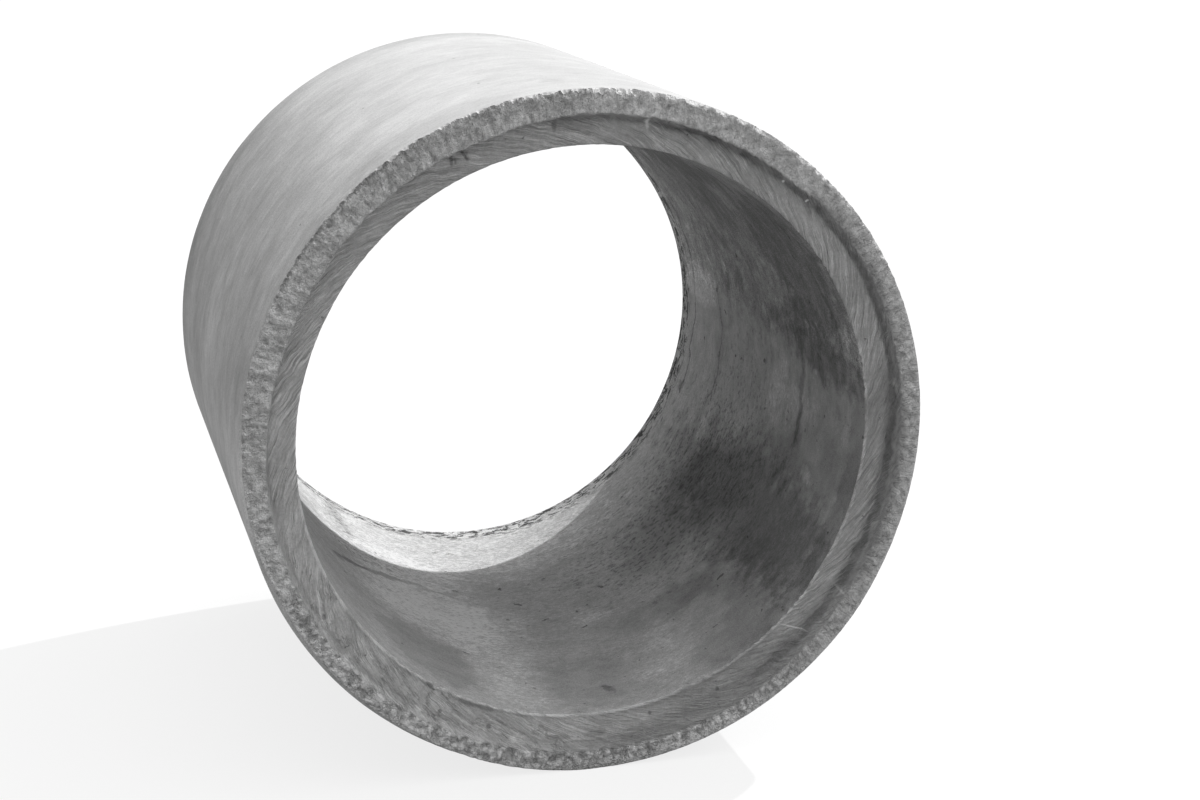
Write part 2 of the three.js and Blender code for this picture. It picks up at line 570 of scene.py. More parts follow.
creaseReach = 22  # degrees from its first point that a crease may reach
creases = [  # folds and burrs that the trowel left: (angle, radius) along each, width and rise
    ([(-101, 0.489), (-104, 0.481), (-109, 0.470), (-113, 0.462)], 0.0030, -0.0017),
    ([(-112, 0.486), (-116, 0.478), (-123, 0.461)], 0.0035, -0.0018),
    ([(-107, 0.478), (-114, 0.464)], 0.0030, 0.0016),
    ([(-122, 0.488), (-123.5, 0.474), (-123, 0.458)], 0.0028, -0.0020),
    ([(-125, 0.484), (-129, 0.470), (-131, 0.457)], 0.0030, -0.0018),
    ([(-133, 0.478), (-139, 0.464)], 0.0030, -0.0016),
    ([(-147, 0.493), (-150, 0.486), (-152, 0.480)], 0.0040, 0.0020),
    ([(-148, 0.486), (-155, 0.468)], 0.0040, -0.0022),
    ([(-150, 0.490), (-160, 0.472)], 0.0040, -0.0016),
    ([(150, 0.486), (146, 0.490), (142, 0.492), (144, 0.480)], 0.0035, 0.0026),
    ([(116.4, 0.489), (115.0, 0.482), (115.4, 0.473)], 0.0032, -0.0026),
    ([(114.4, 0.490), (112.6, 0.483), (113.2, 0.477), (112.4, 0.470)], 0.0030, -0.0024),
    ([(96.8, 0.490), (96.2, 0.476)], 0.0045, -0.0018),
    ([(80.0, 0.4980), (79.3, 0.480)], 0.0050, 0.0025),
    ([(-32, 0.504), (-33.5, 0.496), (-37, 0.489)], 0.0040, 0.0026),
    ([(-35, 0.503), (-33.5, 0.496)], 0.0035, 0.0020),
    ([(8, 0.498), (6, 0.493)], 0.0045, 0.0026),
]


def polar(angle, radius):
    turn = math.radians(angle)
    return Vector((radius * math.cos(turn), radius * math.sin(turn)))


def distanceTo(path, spot):  # from a point of the end view to a path, and how far along the path
    best = (1.0, 0.0)
    for step, (start, end) in enumerate(zip(path, path[1:])):
        a, b = polar(*start), polar(*end)
        t = min(max((spot - a).dot(b - a) / (b - a).length_squared, 0.0), 1.0)
        best = min(best, ((spot - a.lerp(b, t)).length, (step + t) / (len(path) - 1)))
    return best


def creaseRise(angle, radius):
    rise = 0.0
    spot = polar(angle, radius)
    for path, width, height in creases:
        if abs((angle - path[0][0] + 180) % 360 - 180) > creaseReach:
            continue
        away, share = distanceTo(path, spot)
        taper = smooth(share, -0.01, 0.15) * smooth(share, 1.01, 0.75)
        rise += height * taper * smooth(away, width, 0.0)
    return rise


boreEdge = {
    "nibbleSpans": [(31, 38), (8, 16), (-66, -38), (-132, -108)],
    "nibble": 0.0032,
    "notchAngle": -123,
    "notchWidth": 0.016,
    "notchDepth": 0.006,
    "lipSpan": (-168, 12),  # along here the trowel left a thin lip that leans over the bore
    "lipRise": 0.0022,
    "gougeSpan": (-44, 0),  # along here its corner ran deeper, at the foot of the groove wall
    "gougeDepth": 0.0030,
}


def wearBoreEdge(around, angle, radius, depth):  # radial retreat of the bore's near edge
    onEdge = smooth(radius, 0.4595, 0.452) * smooth(depth, grooveDepth + 0.016, grooveDepth + 0.004)
    if onEdge <= 0:
        return 0.0
    spans = max(window(angle, span, 4) for span in boreEdge["nibbleSpans"])
    wave = 0.35 + 0.7 * grain(around, 0.010, 17) + 0.4 * grain(around, 0.026, 19)
    nibble = boreEdge["nibble"] * (0.25 + spans) * min(max(wave, 0.0), 1.0)
    aside = math.radians(angle - boreEdge["notchAngle"]) * boreRadius
    notch = boreEdge["notchDepth"] * smooth(abs(aside), boreEdge["notchWidth"] / 2, 0.001)
    return onEdge * (nibble + notch)


def trowelSeat(around, angle, radius, depth):  # how far the seat stands forward of its true plane
    if radius > seatRadius + 0.008 or depth < rim["grooveFrom"]:
        return 0.0
    inner = smooth(radius, 0.452, 0.456)
    rise = inner * (creaseRise(angle, radius) - 0.0006 * grain(around, 0.05, 23))
    rise -= inner * 0.0004 * grain(around * (radius / 0.5), 0.018, 29)
    lip = smooth(radius, 0.4590, 0.4545) * window(angle, boreEdge["lipSpan"], 10)
    rise += boreEdge["lipRise"] * lip * min(max(0.6 + 0.9 * grain(around, 0.03, 31), 0.0), 1.2)
    foot = smooth(abs(radius - seatRadius + 0.003), 0.0045, 0.0005)
    foot *= window(angle, boreEdge["gougeSpan"], 12)
    return rise - boreEdge["gougeDepth"] * foot * (0.8 + 0.4 * grain(around, 0.02, 37))


attributeNames = ("brokenSkin", "hollows", "folds")  # what the materials read from the points


def addRelief():
    mesh = wall.data
    brokenSkin, hollows, folds = [mesh.attributes.new(name, "FLOAT", "POINT") for name in attributeNames]
    for vertex in mesh.vertices:
        spot = vertex.co
        depth = spot.y - nearY
        if depth > grooveDepth + 0.03:
            continue
        outward = Vector((spot.x, 0, spot.z - axisHeight))
        radius = outward.length
        outward.normalize()
        around = outward * 0.5
        angle = angleOf(spot)
        radius, depth = squareArris(*squareMouth(angle, radius, depth))
        cover = roughness(around, angle, radius, depth)
        even = max(window(angle, span, 12) for span in rim["evenSpans"])
        margin = 1 - 0.80 * even * smooth(radius, *rim["evenFrom"])
        hollow = roughenRing(around, angle, radius) * cover * margin if cover else 0.0
        crumbled = crumbleEdge(around, angle, radius, depth)
        back = max(setBack(angle, radius, depth) + hollow, 0.0) - trowelSeat(around, angle, radius, depth)
        back += chipEdge(around, angle, radius, depth)
        inward = crumbled - waveMouth(around, angle, radius, depth)
        inward -= wearBoreEdge(around, angle, radius, depth)
        lift = fillFoot(angle, radius, depth)
        back -= lift
        inward -= lift * draftSlope
        place = outward * (radius - inward)
        vertex.co = Vector((place.x, nearY + depth + back, place.z + axisHeight))
        brokenSkin.data[vertex.index].value = cover
        hollows.data[vertex.index].value = min(max(hollow / rim["fullHollow"], -1.0), 1.0)
        fold = creaseRise(angle, radius) / rim["fullHollow"]
        folds.data[vertex.index].value = fold if depth > 0.004 else 0.0


def finishOf(centre):  # which of the four finishes a face of the true form has
    radius = math.hypot(centre.x, centre.z - axisHeight)
    if radius > outerRadius - 0.0020 and nearY + 0.0018 < centre.y < shoulderY - 0.001:
        return "outside"
    if radius < boreRadius + 0.0030 and seatY + 0.003 < centre.y < farY - 0.001:
        return "bore"
    return "grooveEnd" if centre.y < 0 else "tongueEnd"


def waveBarrel():  # the bore and the barrel are never quite true
    for name, size, strength in (("formWave", 0.16, 0.0010), ("skinWave", 0.03, 0.0003)):
        texture = bpy.data.textures.new(name, "CLOUDS")
        texture.noise_scale = size
        texture.noise_depth = 2
        displace = wall.modifiers.new(name, "DISPLACE")
        displace.texture = texture
        displace.texture_coords = "LOCAL"
        displace.strength = strength
        displace.mid_level = 0.8
        bpy.ops.object.modifier_apply(modifier=name)


noise.seed_set(rim["seed"])  # without it the facets take their tilt from the clock
finishes = [finishOf(face.center) for face in wall.data.polygons]
addRelief()
waveBarrel()
print("relief made")


# materials; tones are added up as logarithms, so that 0 leaves the albedo as it is

def combine(x, y, z):
    return put("CombineXYZ", {0: x, 1: y, 2: z}).outputs[0]


fraying = {  # how the oval patches are pulled about, and how their edges are made ragged
    "pullScale": 16.0,
    "pull": 0.07,
    "edgeScale": 34.0,
    "edge": 0.9,
}


def placeOn(tree, meanRadius):  # where a shading point is on the pipe
    point = put("TexCoord", tree=tree).outputs["Object"]
    centred = vec("SUBTRACT", point, (0, 0, axisHeight))
    flat = vec("MULTIPLY", centred, (1, 0, 1))
    split = put("SeparateXYZ", {0: point})
    sockets = {"Vector": point, "Scale": fraying["pullScale"], "Detail": 5.0, "Roughness": 0.62}
    wander = vec("SUBTRACT", put("TexNoise", sockets).outputs["Color"], (0.5, 0.5, 0.5))
    pulled = put("VectorMath", {0: wander, "Scale": fraying["pull"]}, operation="SCALE").outputs[0]
    sockets = {"Vector": point, "Scale": fraying["edgeScale"], "Detail": 7.0, "Roughness": 0.68}
    frayed = swing(put("TexNoise", sockets).outputs["Fac"], fraying["edge"])
    return {
        "point": point,
        "centred": centred,
        "pull": pulled,
        "loose": vec("ADD", centred, pulled),  # the same place, pulled about
        "frayed": frayed,  # for the patches' ragged edges
        "outward": vec("NORMALIZE", flat),
        "radius": vec("LENGTH", flat, output="Value"),
        "depth": calc("SUBTRACT", split.outputs["Y"], nearY),
        "meanRadius": meanRadius,
    }


def mottle(point, size, around=1, detail=3.0, rough=0.55):  # noise, drawn out around the pipe if asked
    scale = (1 / (size * around), 1 / size, 1 / (size * around))
    spread = put("Mapping", {"Vector": point, "Scale": scale}).outputs[0]
    sockets = {"Vector": spread, "Scale": 1.0, "Detail": detail, "Roughness": rough}
    return put("TexNoise", sockets).outputs["Fac"]


def swing(value, amount):  # noise to a change around 0
    return calc("MULTIPLY_ADD", value, 2 * amount, -amount)


def fade(value, start, end, low=0.0, high=1.0):
    sockets = {"Value": value, "From Min": start, "From Max": end, "To Min": low, "To Max": high}
    return put("MapRange", sockets, interpolation_type="SMOOTHSTEP").outputs[0]


def addUp(terms):
    total = terms[0]
    for term in terms[1:]:
        total = calc("ADD", total, term)
    return total


def times(*factors):
    product = factors[0]
    for factor in factors[1:]:
        product = calc("MULTIPLY", product, factor)
    return product


def sector(place, span, soft):  # 1 within a span of degrees around the pipe, seen from the groove end
    middle, half = math.radians(sum(span) / 2), math.radians(span[1] - span[0]) / 2
    towards = (math.cos(middle), 0, math.sin(middle))
    facing = vec("DOT_PRODUCT", place["outward"], towards, output="Value")
    outer = math.cos(min(half + math.radians(soft), math.pi))
    return fade(facing, outer, math.cos(half))


def stretches(place, band, tones, soft):  # changes of tone within a band, each for its span of degrees
    return [times(band, sector(place, (start, end), soft), tone) for start, end, tone in tones]


def pits(point, spacing, size, share):  # round holes, of which only this share of the cells has one
    spread = put("Mapping", {"Vector": point, "Scale": [1 / spacing] * 3}).outputs[0]
    cells = put("TexVoronoi", {"Vector": spread, "Scale": 1.0, "Randomness": 1.0})
    chance = put("SeparateColor", {0: cells.outputs["Color"]}).outputs[0]
    reach = fade(chance, 1 - share, 1 - share * 0.3, 0.0, size / spacing)
    gap = calc("SUBTRACT", reach, cells.outputs["Distance"])
    return calc("MULTIPLY", gap, 3.0 * spacing / size, clamp=True)


def crumbGaps(point, size, narrow):  # 1 in the narrow gaps between the crumbs of a broken face
    sockets = {"Vector": point, "Scale": 1 / size, "Randomness": 1.0}
    cells = put("TexVoronoi", sockets, feature="DISTANCE_TO_EDGE")
    return fade(cells.outputs["Distance"], narrow, narrow * 0.15)


usualLook = {"edge": 0.45, "ragged": 0.8, "lean": 0}  # of a patch; lean turns it, in degrees


def patch(place, tone, look, sockets):  # a change of tone that fades out at the patch's ragged edge
    stretched = put("Mapping", sockets, vector_type="TEXTURE").outputs[0]
    away = vec("LENGTH", stretched, output="Value")
    ragged = calc("MULTIPLY_ADD", place["frayed"], look["ragged"], away)
    return fade(ragged, 1 + look["edge"], 1 - look["edge"], 0.0, tone)


def ovalPatch(place, angle, depth, width, length, tone, look=usualLook):
    # an oval patch on the bore or the barrel: width around it and length along it
    look = {**usualLook, **look}
    turn, radius = math.radians(angle), place["meanRadius"]
    return patch(place, tone, look, {
        "Vector": place["loose"],
        "Location": (radius * math.cos(turn), nearY + depth, radius * math.sin(turn)),
        "Rotation": (math.radians(look["lean"]), -turn, 0),
        "Scale": (radius, length / 2, width / 2),
    })


def mark(place, angle, radius, length, width, tone, look=usualLook):
    # a patch on the end face: length along the radius, width across it
    look = {**usualLook, **look}
    turn = math.radians(angle)
    return patch(place, tone, look, {
        "Vector": place["centred"],
        "Location": (radius * math.cos(turn), nearY, radius * math.sin(turn)),
        "Rotation": (0, math.radians(look["lean"]) - turn, 0),
        "Scale": (length / 2, 1.0, width / 2),
    })


brightest = 0.85  # albedo that no spot goes above
shine = 0.25  # specular level of bare concrete


def finish(tone, albedo, height, roughness):
    shade = calc("MINIMUM", times(calc("EXPONENT", tone), albedo), brightest)
    colour = put("CombineColor", {0: shade, 1: shade, 2: shade}).outputs[0]
    bump = put("Bump", {"Height": height, "Distance": 1.0, "Strength": 1.0}).outputs[0]
    shader = put("BsdfPrincipled", {
        "Base Color": colour,
        "Roughness": roughness,
        "Specular IOR Level": shine,
        "Normal": bump,
    })
    put("OutputMaterial", {"Surface": shader.outputs[0]})


def newMaterial(name):
    material = bpy.data.materials.new(name)
    material.use_nodes = True
    material.node_tree.nodes.clear()
    return material, material.node_tree


outside = {
    "albedo": 0.60,
    "mottledSpan": (146, 250),  # weather has marked this side more
    "mottled": (0.80, 1.50),  # how strongly, elsewhere and there
    "roughness": 0.84,
    "stainsAndPaintedLight": [  # angle and depth of the middle, width, length, change of tone, and what isn't usual
        (117, 0.045, 0.26, 0.15, -0.12, {"edge": 0.2}),
        (168, 0.05, 0.10, 0.16, -0.14),
        (93, 0.13, 0.03, 0.03, -0.10, {"edge": 0.6}),
        # painted light: a long lighter band along the upper left of the barrel
        (120, 0.40, 0.34, 1.6, 0.12, {"edge": 0.7}),
        # painted shade: a long darker band along the left
        (162, 0.50, 0.30, 2.0, -0.12, {"edge": 0.7}),
        (140, 1.00, 1.40, 0.16, -0.16, {"edge": 0.5}),
        (186, 0.06, 0.16, 0.5, 0.12, {"edge": 0.6}),
        (172, 0.96, 0.36, 0.7, -0.15, {"edge": 0.6}),
        # painted shade: long darker bands along the upper right
        (72, 0.50, 0.34, 2.0, -0.10, {"edge": 0.7}),
        (38, 0.50, 0.44, 2.6, -0.14),
    ],
}


def paintOutside():  # smooth cement skin from the steel form
    material, tree = newMaterial("formFinish")
    place = placeOn(tree, outerRadius)
    point = place["point"]
    holes = pits(point, 0.030, 0.0030, share=0.16)
    marked = fade(sector(place, outside["mottledSpan"], 50), 0.0, 1.0, *outside["mottled"])
    mottles = addUp([
        swing(mottle(place["loose"], 0.20, detail=5, rough=0.6), 0.20),
        swing(mottle(place["loose"], 0.045, 1.6, 5, 0.62), 0.22),
        swing(mottle(point, 0.010, 3.4, 5, 0.66), 0.19),
        swing(mottle(point, 0.0026, detail=2), 0.30),
    ])
    # the pits are darker: painted shade in the holes
    tone = [times(mottles, marked), times(holes, -0.7)]
    tone += [ovalPatch(place, *spot) for spot in outside["stainsAndPaintedLight"]]
    height = addUp([
        swing(mottle(point, 0.0025, rough=0.6), 0.00012),
        swing(mottle(point, 0.02, 3), 0.00030),
        times(holes, -0.0012),
    ])
    rough = calc("ADD", swing(mottle(point, 0.03), 0.12), outside["roughness"])
    finish(addUp(tone), outside["albedo"], height, rough)
    return material


grooveEnd = {
    "ringAlbedo": 0.60,
    "seatAlbedo": 0.48,
    "strokeTwist": 4.6,  # radians of turn for each metre of radius
    "crossTwist": 8.5,
    "strokeStretch": 8.0,
    "strokeRadius": 0.47,  # middle of the seat
    "tornSpan": (202, 262),  # here the trowel tore the mortar into folds
    "raisedSpan": (8, 34),  # along here the painted shade in the corner lies further up the wall
    "footTones": [  # span of degrees and change of tone: painted shade in the corner of seat and groove wall
        (-52, 52, -0.42), (66, 100, -0.30), (65, 68, -0.38), (122, 136, -0.20), (168, 184, -0.22),
        (198, 240, -0.28), (8, 42, 0.10),
    ],
    "shadeTones": [  # painted shade on the seat beside that corner
        (26, 34, -0.12), (47, 50, -0.20), (66, 90, -0.28), (64, 70, -0.15),
    ],
    "rubbedTones": [  # and on the seat's inner part
        (-80, -8, 0.17), (38, 44, 0.12), (-114, -106, -0.04),
    ],
    "wallTones": [  # painted shade on the groove's wall, lighter again in a few stretches
        (60, 108, -0.36), (-90, 45, -0.32), (8, 36, -0.10), (-134, -118, 0.16), (118, 200, -0.16),
        (106, 127, 0.34), (196, 216, 0.12),
    ],
    "mouthTones": [  # on the rounding of the groove's mouth: painted shade on the right, painted light at the bottom
        (-22, 44, -0.20), (-138, -66, 0.20),
    ],
    "seatTones": [  # on the seat
        (-66, 4, -0.14), (-24, -2, -0.14), (-70, -56, -0.20), (204, 262, 0.17), (155, 200, 0.08),
        (-102, -92, 0.12),
    ],
    "strokeSpans": [  # where the trowel's strokes are weaker or stronger than elsewhere
        (-138, -62, -0.60), (105, 190, 0.15), (194, 226, -0.20),
    ],
    "ringBand": (0.480, 0.490),  # radii between which each band of the ring comes up
    "innerBand": (0.5200, 0.5060),
    "edgeBand": (0.5292, 0.5338),
    "ringTones": [  # span of degrees and change of tone on the whole ring
        (98, 124, -0.18), (56, 94, -0.13), (-145, -66, 0.16), (-94, -82, -0.24), (196, 214, 0.14),
        (-60, 5, -0.08),
    ],
    "innerTones": [  # on the ring's inner part, which is worn round; darkest from -26 to 42 degrees, which is painted shade
        (-26, 42, -0.46), (8, 14, 0.20), (50, 62, 0.10), (82, 102, 0.16), (100, 130, 0.12),
        (-130, -76, 0.14), (-94, -82, 0.20),
    ],
    "edgeTones": [  # and along its outer edge: painted shade from 126 to 148 degrees, a painted highlight from 54 to 84 degrees where the broken edge catches the sun
        (126, 148, -0.50), (-36, 24, 0.12), (54, 84, 0.30), (76, 84, 0.25),
    ],
    "paintedHighlightSpan": (34, 150),  # along here specks of painted highlight lie on the crumbs at the outer edge
    "paintedHighlightTone": 0.55,
    "paleSpan": (75, 200),  # cleaner part of the end
    "paleTone": 0.12,
    # painted highlight along the lip at the bore's edge
    "lipPaintedHighlight": 0.34,
    "roughness": 0.86,
    "ringRougher": 0.08,
    "marks": [  # scars, dirt and specks of mortar: angle, radius, length along it, width, tone, look
        (-45, 0.4770, 0.042, 0.0026, 0.75, {"lean": -28, "ragged": 0.3}),
        (79.85, 0.4935, 0.008, 0.0085, 0.42, {"lean": -19, "ragged": 0.3}),
        (79.5, 0.4865, 0.018, 0.0044, 0.38, {"lean": -19, "ragged": 0.3}),
        (51.7, 0.4910, 0.004, 0.004, 1.40, {"ragged": 0.2}),
        (46.0, 0.4925, 0.005, 0.0035, 1.40, {"ragged": 0.2}),
        (-105, 0.4940, 0.009, 0.011, 0.40),
        (-124, 0.4945, 0.009, 0.014, 0.40),
        (-80, 0.4950, 0.005, 0.005, 0.35),
        (-152, 0.4800, 0.020, 0.018, 0.25),
        (6, 0.4965, 0.010, 0.018, 0.20, {"ragged": 0.6}),
        (-34, 0.4970, 0.020, 0.004, 0.34, {"lean": 18}),
        (-96, 0.4860, 0.008, 0.040, -0.45),
        (-89, 0.4830, 0.009, 0.030, -0.40),
        (-114, 0.4570, 0.008, 0.060, -0.40),
        (-124, 0.4560, 0.008, 0.016, -0.60),
        (-110, 0.4830, 0.007, 0.008, -0.60),
        (-120, 0.4850, 0.006, 0.006, -0.70),
        (-78, 0.4700, 0.006, 0.006, -0.60),
        (-64, 0.4770, 0.006, 0.006, -0.55),
        (-149, 0.4870, 0.007, 0.009, -0.55),
        (115.7, 0.4820, 0.014, 0.0045, -0.65, {"lean": 25}),
        (113.2, 0.4800, 0.018, 0.0042, -0.60, {"lean": -10}),
        (96.4, 0.4830, 0.016, 0.0080, -0.30),
        (138, 0.5270, 0.008, 0.016, -0.50),
        (166, 0.5200, 0.012, 0.016, -0.28),
    ],
}


def spiral(place, twist, loosen):  # the angle turns with the radius, so that noise draws trowel strokes
    turn = calc("MULTIPLY_ADD", place["radius"], twist, -twist * seatRadius)
    turn = calc("ADD", turn, loosen)
    sockets = {"Vector": place["outward"], "Angle": turn}
    twisted = put("VectorRotate", sockets, rotation_type="Y_AXIS").outputs[0]
    height = times(place["radius"], 1 / grooveEnd["strokeStretch"])
    return onCylinder(twisted, grooveEnd["strokeRadius"], height)


def onCylinder(outward, radius, height):  # lays the end face on a cylinder, so that noise follows its arc
    split = put("SeparateXYZ", {0: outward})
    return combine(times(split.outputs[0], radius), height, times(split.outputs[2], radius))


def paintRing(place, hollow, sand):  # change of tone and heights of the rough ring
    point, radius = place["point"], place["radius"]
    grit = mottle(point, 0.0052, rough=0.60)
    crumbled = sector(place, rim["crumblySpan"], 20)
    gritty = calc("MULTIPLY_ADD", sector(place, rim["softSpan"], 12), -0.4, 1.0)
    speckle = times(gritty, fade(crumbled, 0.0, 1.0, 1.0, 0.70))
    kept = fade(mottle(point, 0.012, detail=2), 0.38, 0.56)
    gaps = times(crumbGaps(place["loose"], 0.0080, 0.15), kept)
    ringPoint = onCylinder(place["outward"], 0.5, times(radius, 0.30))
    ridged = sector(place, rim["ridgeSpan"], 20)
    ridges = swing(mottle(ringPoint, 0.0042, detail=2), 1.0)
    seams = calc("ABSOLUTE", swing(mottle(ringPoint, 0.0090, detail=2), 1.0))
    seams = times(fade(seams, 0.05, 0.0), sector(place, rim["tongueSpan"], 14))
    tone = [
        times(swing(grit, 0.38), speckle),
        swing(mottle(point, 0.045, detail=4), 0.14),
        swing(mottle(point, 0.013), 0.18),
        times(swing(sand, 0.34), speckle),
        times(ridges, ridged, 0.20),
        times(seams, -0.26),
        # darker in the hollows and in the narrow gaps between crumbs, lighter on the proud lumps: painted
        # shade and light
        times(hollow, gritty, -0.24),
        times(hollow, crumbled, -0.16),
        times(gaps, fade(crumbled, 0.0, 1.0, -0.16, -0.26)),
        math.log(grooveEnd["ringAlbedo"] / grooveEnd["seatAlbedo"]),
    ]
    # the inner and edge bands carry painted shade and a painted highlight
    for name in ("ring", "inner", "edge"):
        band = fade(radius, *grooveEnd[name + "Band"])
        tone += stretches(place, band, grooveEnd[name + "Tones"], 8)
    # painted highlight: specks where crumbs on the outer edge catch the sun
    paintedHighlight = fade(mottle(point, 0.0040, detail=2), 0.55, 0.66)
    paintedHighlight = times(paintedHighlight, fade(radius, 0.5275, 0.5330))
    tone.append(times(paintedHighlight, sector(place, grooveEnd["paintedHighlightSpan"], 12), grooveEnd["paintedHighlightTone"]))
    heights = [
        times(swing(grit, 0.0048), gritty),
        times(ridges, ridged, 0.0028),
        times(swing(sand, 0.0012), gritty),
        times(seams, -0.0012),
        times(gaps, fade(crumbled, 0.0, 1.0, -0.0008, -0.0020)),
    ]
    return addUp(tone), addUp(heights)


def paintSeat(place, folds, sand):  # change of tone and heights of the trowelled step, with its walls
    point, loose, radius = place["point"], place["loose"], place["radius"]
    loosen = swing(mottle(point, 0.045, detail=2), 0.040)
    loosen = calc("ADD", loosen, swing(mottle(point, 0.013, detail=2), 0.007))
    strokes = spiral(place, grooveEnd["strokeTwist"], loosen)
    crossing = spiral(place, grooveEnd["crossTwist"], loosen)
    fine = mottle(strokes, 0.0020, rough=0.6)
    wide = mottle(strokes, 0.008, detail=2)
    cross = mottle(crossing, 0.0026, detail=2)
    patchy = fade(mottle(point, 0.05, detail=2), 0.40, 0.62)
    holes = pits(loose, 0.016, 0.0028, share=0.22)
    lip = times(fade(radius, 0.4562, 0.4538), sector(place, boreEdge["lipSpan"], 10))
    lip = times(lip, fade(mottle(point, 0.020, detail=4), 0.36, 0.50))
    torn = times(
        crumbGaps(vec("ADD", crossing, place["pull"]), 0.018, 0.10),
        fade(mottle(point, 0.026), 0.48, 0.60),
        sector(place, grooveEnd["tornSpan"], 6),
    )

    # where the painted shade in the corner of seat and groove wall lies
    waver = swing(mottle(point, 0.035), 0.008)
    raised = times(sector(place, grooveEnd["raisedSpan"], 12), -0.002)
    footPlace = addUp([radius, waver, times(place["frayed"], 0.003), raised])
    foot = times(
        fade(footPlace, 0.4862, 0.4910),
        fade(footPlace, 0.4990, 0.4950),
        fade(mottle(loose, 0.024, detail=4), 0.36, 0.60, 0.5, 1.25),
    )
    onWall = fade(addUp([radius, times(place["frayed"], 0.002)]), 0.4895, 0.4935)
    onSeat = calc("SUBTRACT", 1.0, onWall)
    # the foot, shade, wall and mouth bands carry painted shade and light
    bands = {
        "foot": foot,
        "shade": times(fade(footPlace, 0.4805, 0.4890), onSeat),
        "rubbed": times(fade(radius, 0.4850, 0.4750), onSeat),
        "seat": onSeat,
        "wall": onWall,
        "mouth": fade(radius, 0.4985, 0.5015),
    }
    strength = [fade(mottle(point, 0.04), 0.36, 0.60, 0.35, 1.15), times(onWall, -0.35)]
    for start, end, change in grooveEnd["strokeSpans"]:
        strength.append(times(sector(place, (start, end), 10), change))
    strength = addUp(strength)
    tone = [
        times(swing(fine, 0.70), strength),
        times(swing(cross, 0.75), patchy),
        times(swing(wide, 0.66), strength),
        swing(mottle(loose, 0.06, detail=4), 0.24),
        swing(mottle(point, 0.009, detail=4, rough=0.65), 0.28),
        swing(sand, 0.24),
        # painted shade in the pits, the torn gaps and the sunk folds, painted light on the raised burrs,
        # and a painted highlight along the lip
        times(holes, -0.7),
        times(lip, grooveEnd["lipPaintedHighlight"]),
        times(folds, 0.5),
        times(torn, -0.30),
    ]
    for name, band in bands.items():
        tone += stretches(place, band, grooveEnd[name + "Tones"], 10)
    heights = [
        times(torn, -0.0012),
        swing(fine, 0.0012),
        swing(cross, 0.0012),
        swing(wide, 0.0024),
        times(holes, -0.0015),
    ]
    return addUp(tone), addUp(heights)


def paintGrooveEnd():  # rough ring, and the trowelled step inside it
    material, tree = newMaterial("grooveEnd")
    place = placeOn(tree, seatRadius)
    broken, hollow, folds = [
        put("Attribute", tree=tree, attribute_name=name).outputs["Fac"] for name in attributeNames
    ]
    still = calc("SUBTRACT", 1.0, broken)
    sand = mottle(place["point"], 0.0024, detail=2, rough=0.6)
    ringTone, ringHeight = paintRing(place, hollow, sand)
    seatTone, seatHeight = paintSeat(place, folds, sand)
    pale = times(sector(place, grooveEnd["paleSpan"], 25), grooveEnd["paleTone"])
    tone = [times(ringTone, broken), times(seatTone, still), pale]
    tone += [mark(place, *spot) for spot in grooveEnd["marks"]]
    height = calc("ADD", times(ringHeight, broken), times(seatHeight, still))
    rough = calc("MULTIPLY_ADD", broken, grooveEnd["ringRougher"], grooveEnd["roughness"])
    finish(addUp(tone), grooveEnd["seatAlbedo"], height, rough)
    return material


